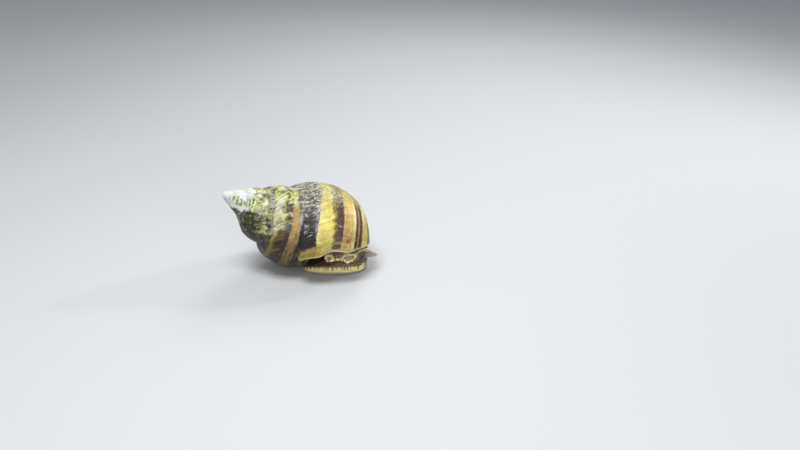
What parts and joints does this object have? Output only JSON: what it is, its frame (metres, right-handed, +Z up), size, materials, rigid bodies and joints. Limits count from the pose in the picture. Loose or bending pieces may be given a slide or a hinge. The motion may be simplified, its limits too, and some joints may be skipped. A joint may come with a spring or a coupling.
{
  "type": "banded river snail",
  "caption": "Life-size crawling freshwater snail: tall banded shell with a worn tip, carried over a short flat foot, head and feelers out.",
  "frame": {"origin": "on the floor, in the middle of the foot's flat sole", "axes": "+Z up, +X the way the snail crawls, +Y its left; the shell's tip points back, towards -X"},
  "size_m": [0.0363, 0.0246, 0.0212],
  "materials": {
    "shell_apex": "chalky, worn and algae-stained old shell",
    "shell_spire_whorl": "shell with green algae film",
    "shell_penultimate_whorl": "banded shell with algae film",
    "shell_body_whorl": "banded shell with a thin horny skin",
    "shell_outer_lip": "banded yellow and brown shell, satin",
    "shell_columella": "smooth pale shell",
    "foot": "moist cream skin with brown marks",
    "operculum": "thin horny lid, purple-brown",
    "snout": "moist olive-brown skin",
    "eye_right": "glossy black eye",
    "eye_stalk_right": "moist skin",
    "tentacle_right": "moist brown-grey skin",
    "eye_left": "glossy black eye",
    "eye_stalk_left": "moist skin",
    "tentacle_left": "moist brown-grey skin",
    "head": "moist olive-brown skin",
    "trunk": "moist dark olive skin",
    "neck_lobe_right": "moist yellow-orange flap",
    "neck_lobe_left": "moist yellow-orange flap",
    "mantle": "moist maroon-brown skin",
    "mantle_edge": "moist cream frills"
  },
  "bodies": {
    "root": {"shell_apex": "shell_apex", "shell_spire_whorl": "shell_spire_whorl", "shell_penultimate_whorl": "shell_penultimate_whorl", "shell_body_whorl": "shell_body_whorl", "shell_outer_lip": "shell_outer_lip", "shell_columella": "shell_columella", "foot": "foot", "operculum": "operculum", "snout": "snout", "eye_right": "eye_right", "eye_stalk_right": "eye_stalk_right", "tentacle_right": "tentacle_right", "eye_left": "eye_left", "eye_stalk_left": "eye_stalk_left", "tentacle_left": "tentacle_left", "head": "head", "trunk": "trunk", "neck_lobe_right": "neck_lobe_right", "neck_lobe_left": "neck_lobe_left", "mantle": "mantle", "mantle_edge": "mantle_edge"}
  },
  "joints": []
}
